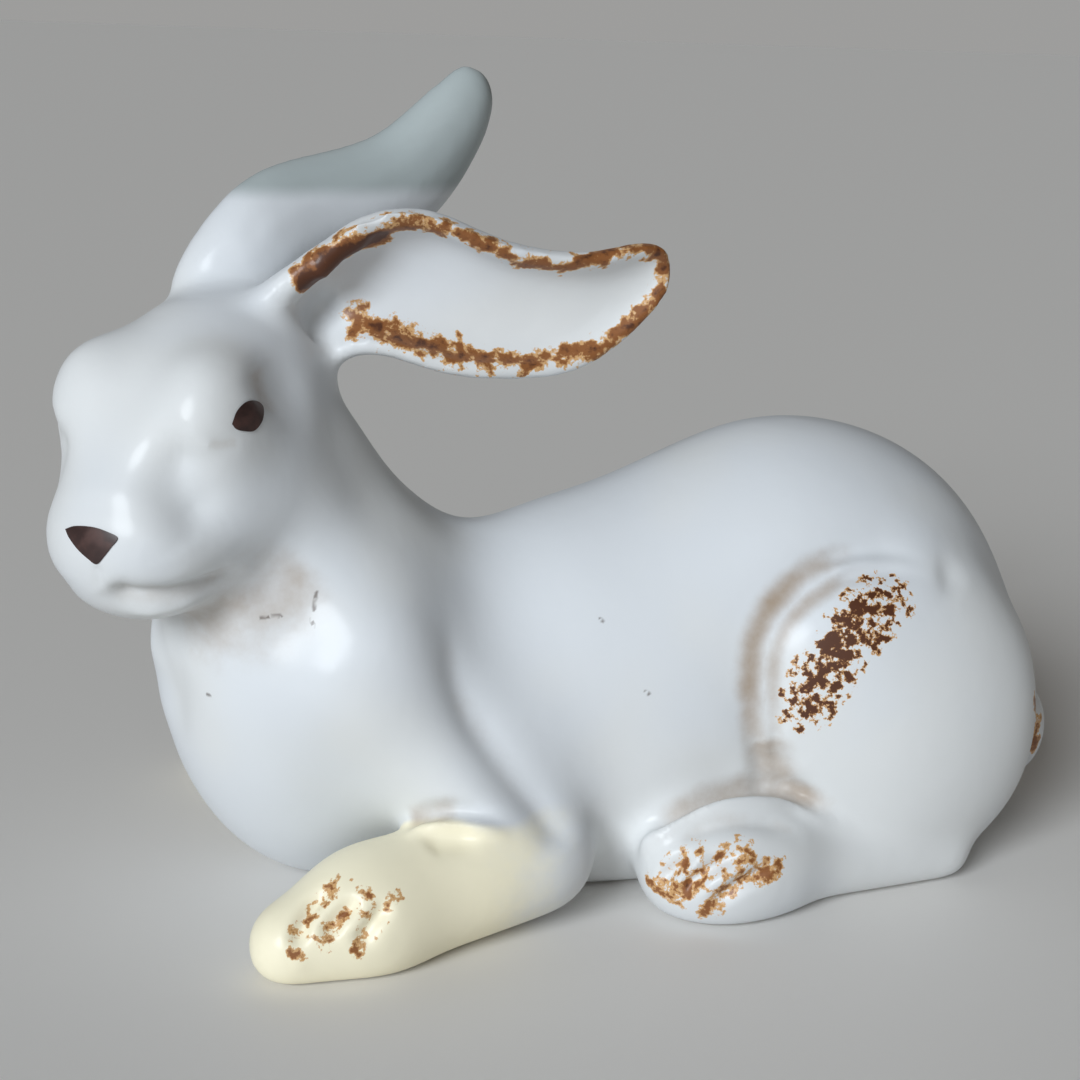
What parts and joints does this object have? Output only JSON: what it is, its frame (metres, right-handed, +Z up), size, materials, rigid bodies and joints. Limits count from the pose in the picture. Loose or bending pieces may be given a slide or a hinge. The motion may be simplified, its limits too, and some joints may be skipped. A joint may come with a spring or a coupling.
{
  "type": "ceramic rabbit figurine",
  "caption": "Free-standing glazed stoneware rabbit lying down, head turned to its left, one ear laid back and one raised, rust-brown washes on ears, toes and haunch.",
  "frame": {"origin": "middle of the flat underside that the body stands on", "axes": "+X from chest to tail, +Y towards the rabbit's right side, +Z up; the rabbit faces -X"},
  "size_m": [0.1908, 0.1008, 0.1384],
  "materials": {
    "glaze_body": "satin white glaze with a cool blue-grey cast, beige in the folds, rust speckle on the haunch",
    "glaze_head": "satin white glaze, warmer and greener in the hollows",
    "glaze_ear": "satin white glaze that breaks to rust brown on the rims",
    "glaze_foreleg": "satin cream-yellow glaze, rust brown in the toe grooves",
    "glaze_foot": "satin white glaze, rust brown in the toe grooves",
    "glaze_tail": "satin white glaze that breaks to brown at the edge",
    "enamel_brown": "dark brown satin enamel"
  },
  "bodies": {
    "root": {"body": "glaze_body", "head": "glaze_head", "ear_left": "glaze_ear", "ear_right": "glaze_ear", "foreleg_left": "glaze_foreleg", "foreleg_right": "glaze_foreleg", "hind_foot_left": "glaze_foot", "hind_foot_right": "glaze_foot", "tail": "glaze_tail", "eye_left": "enamel_brown", "eye_right": "enamel_brown", "nose": "enamel_brown"}
  },
  "joints": []
}
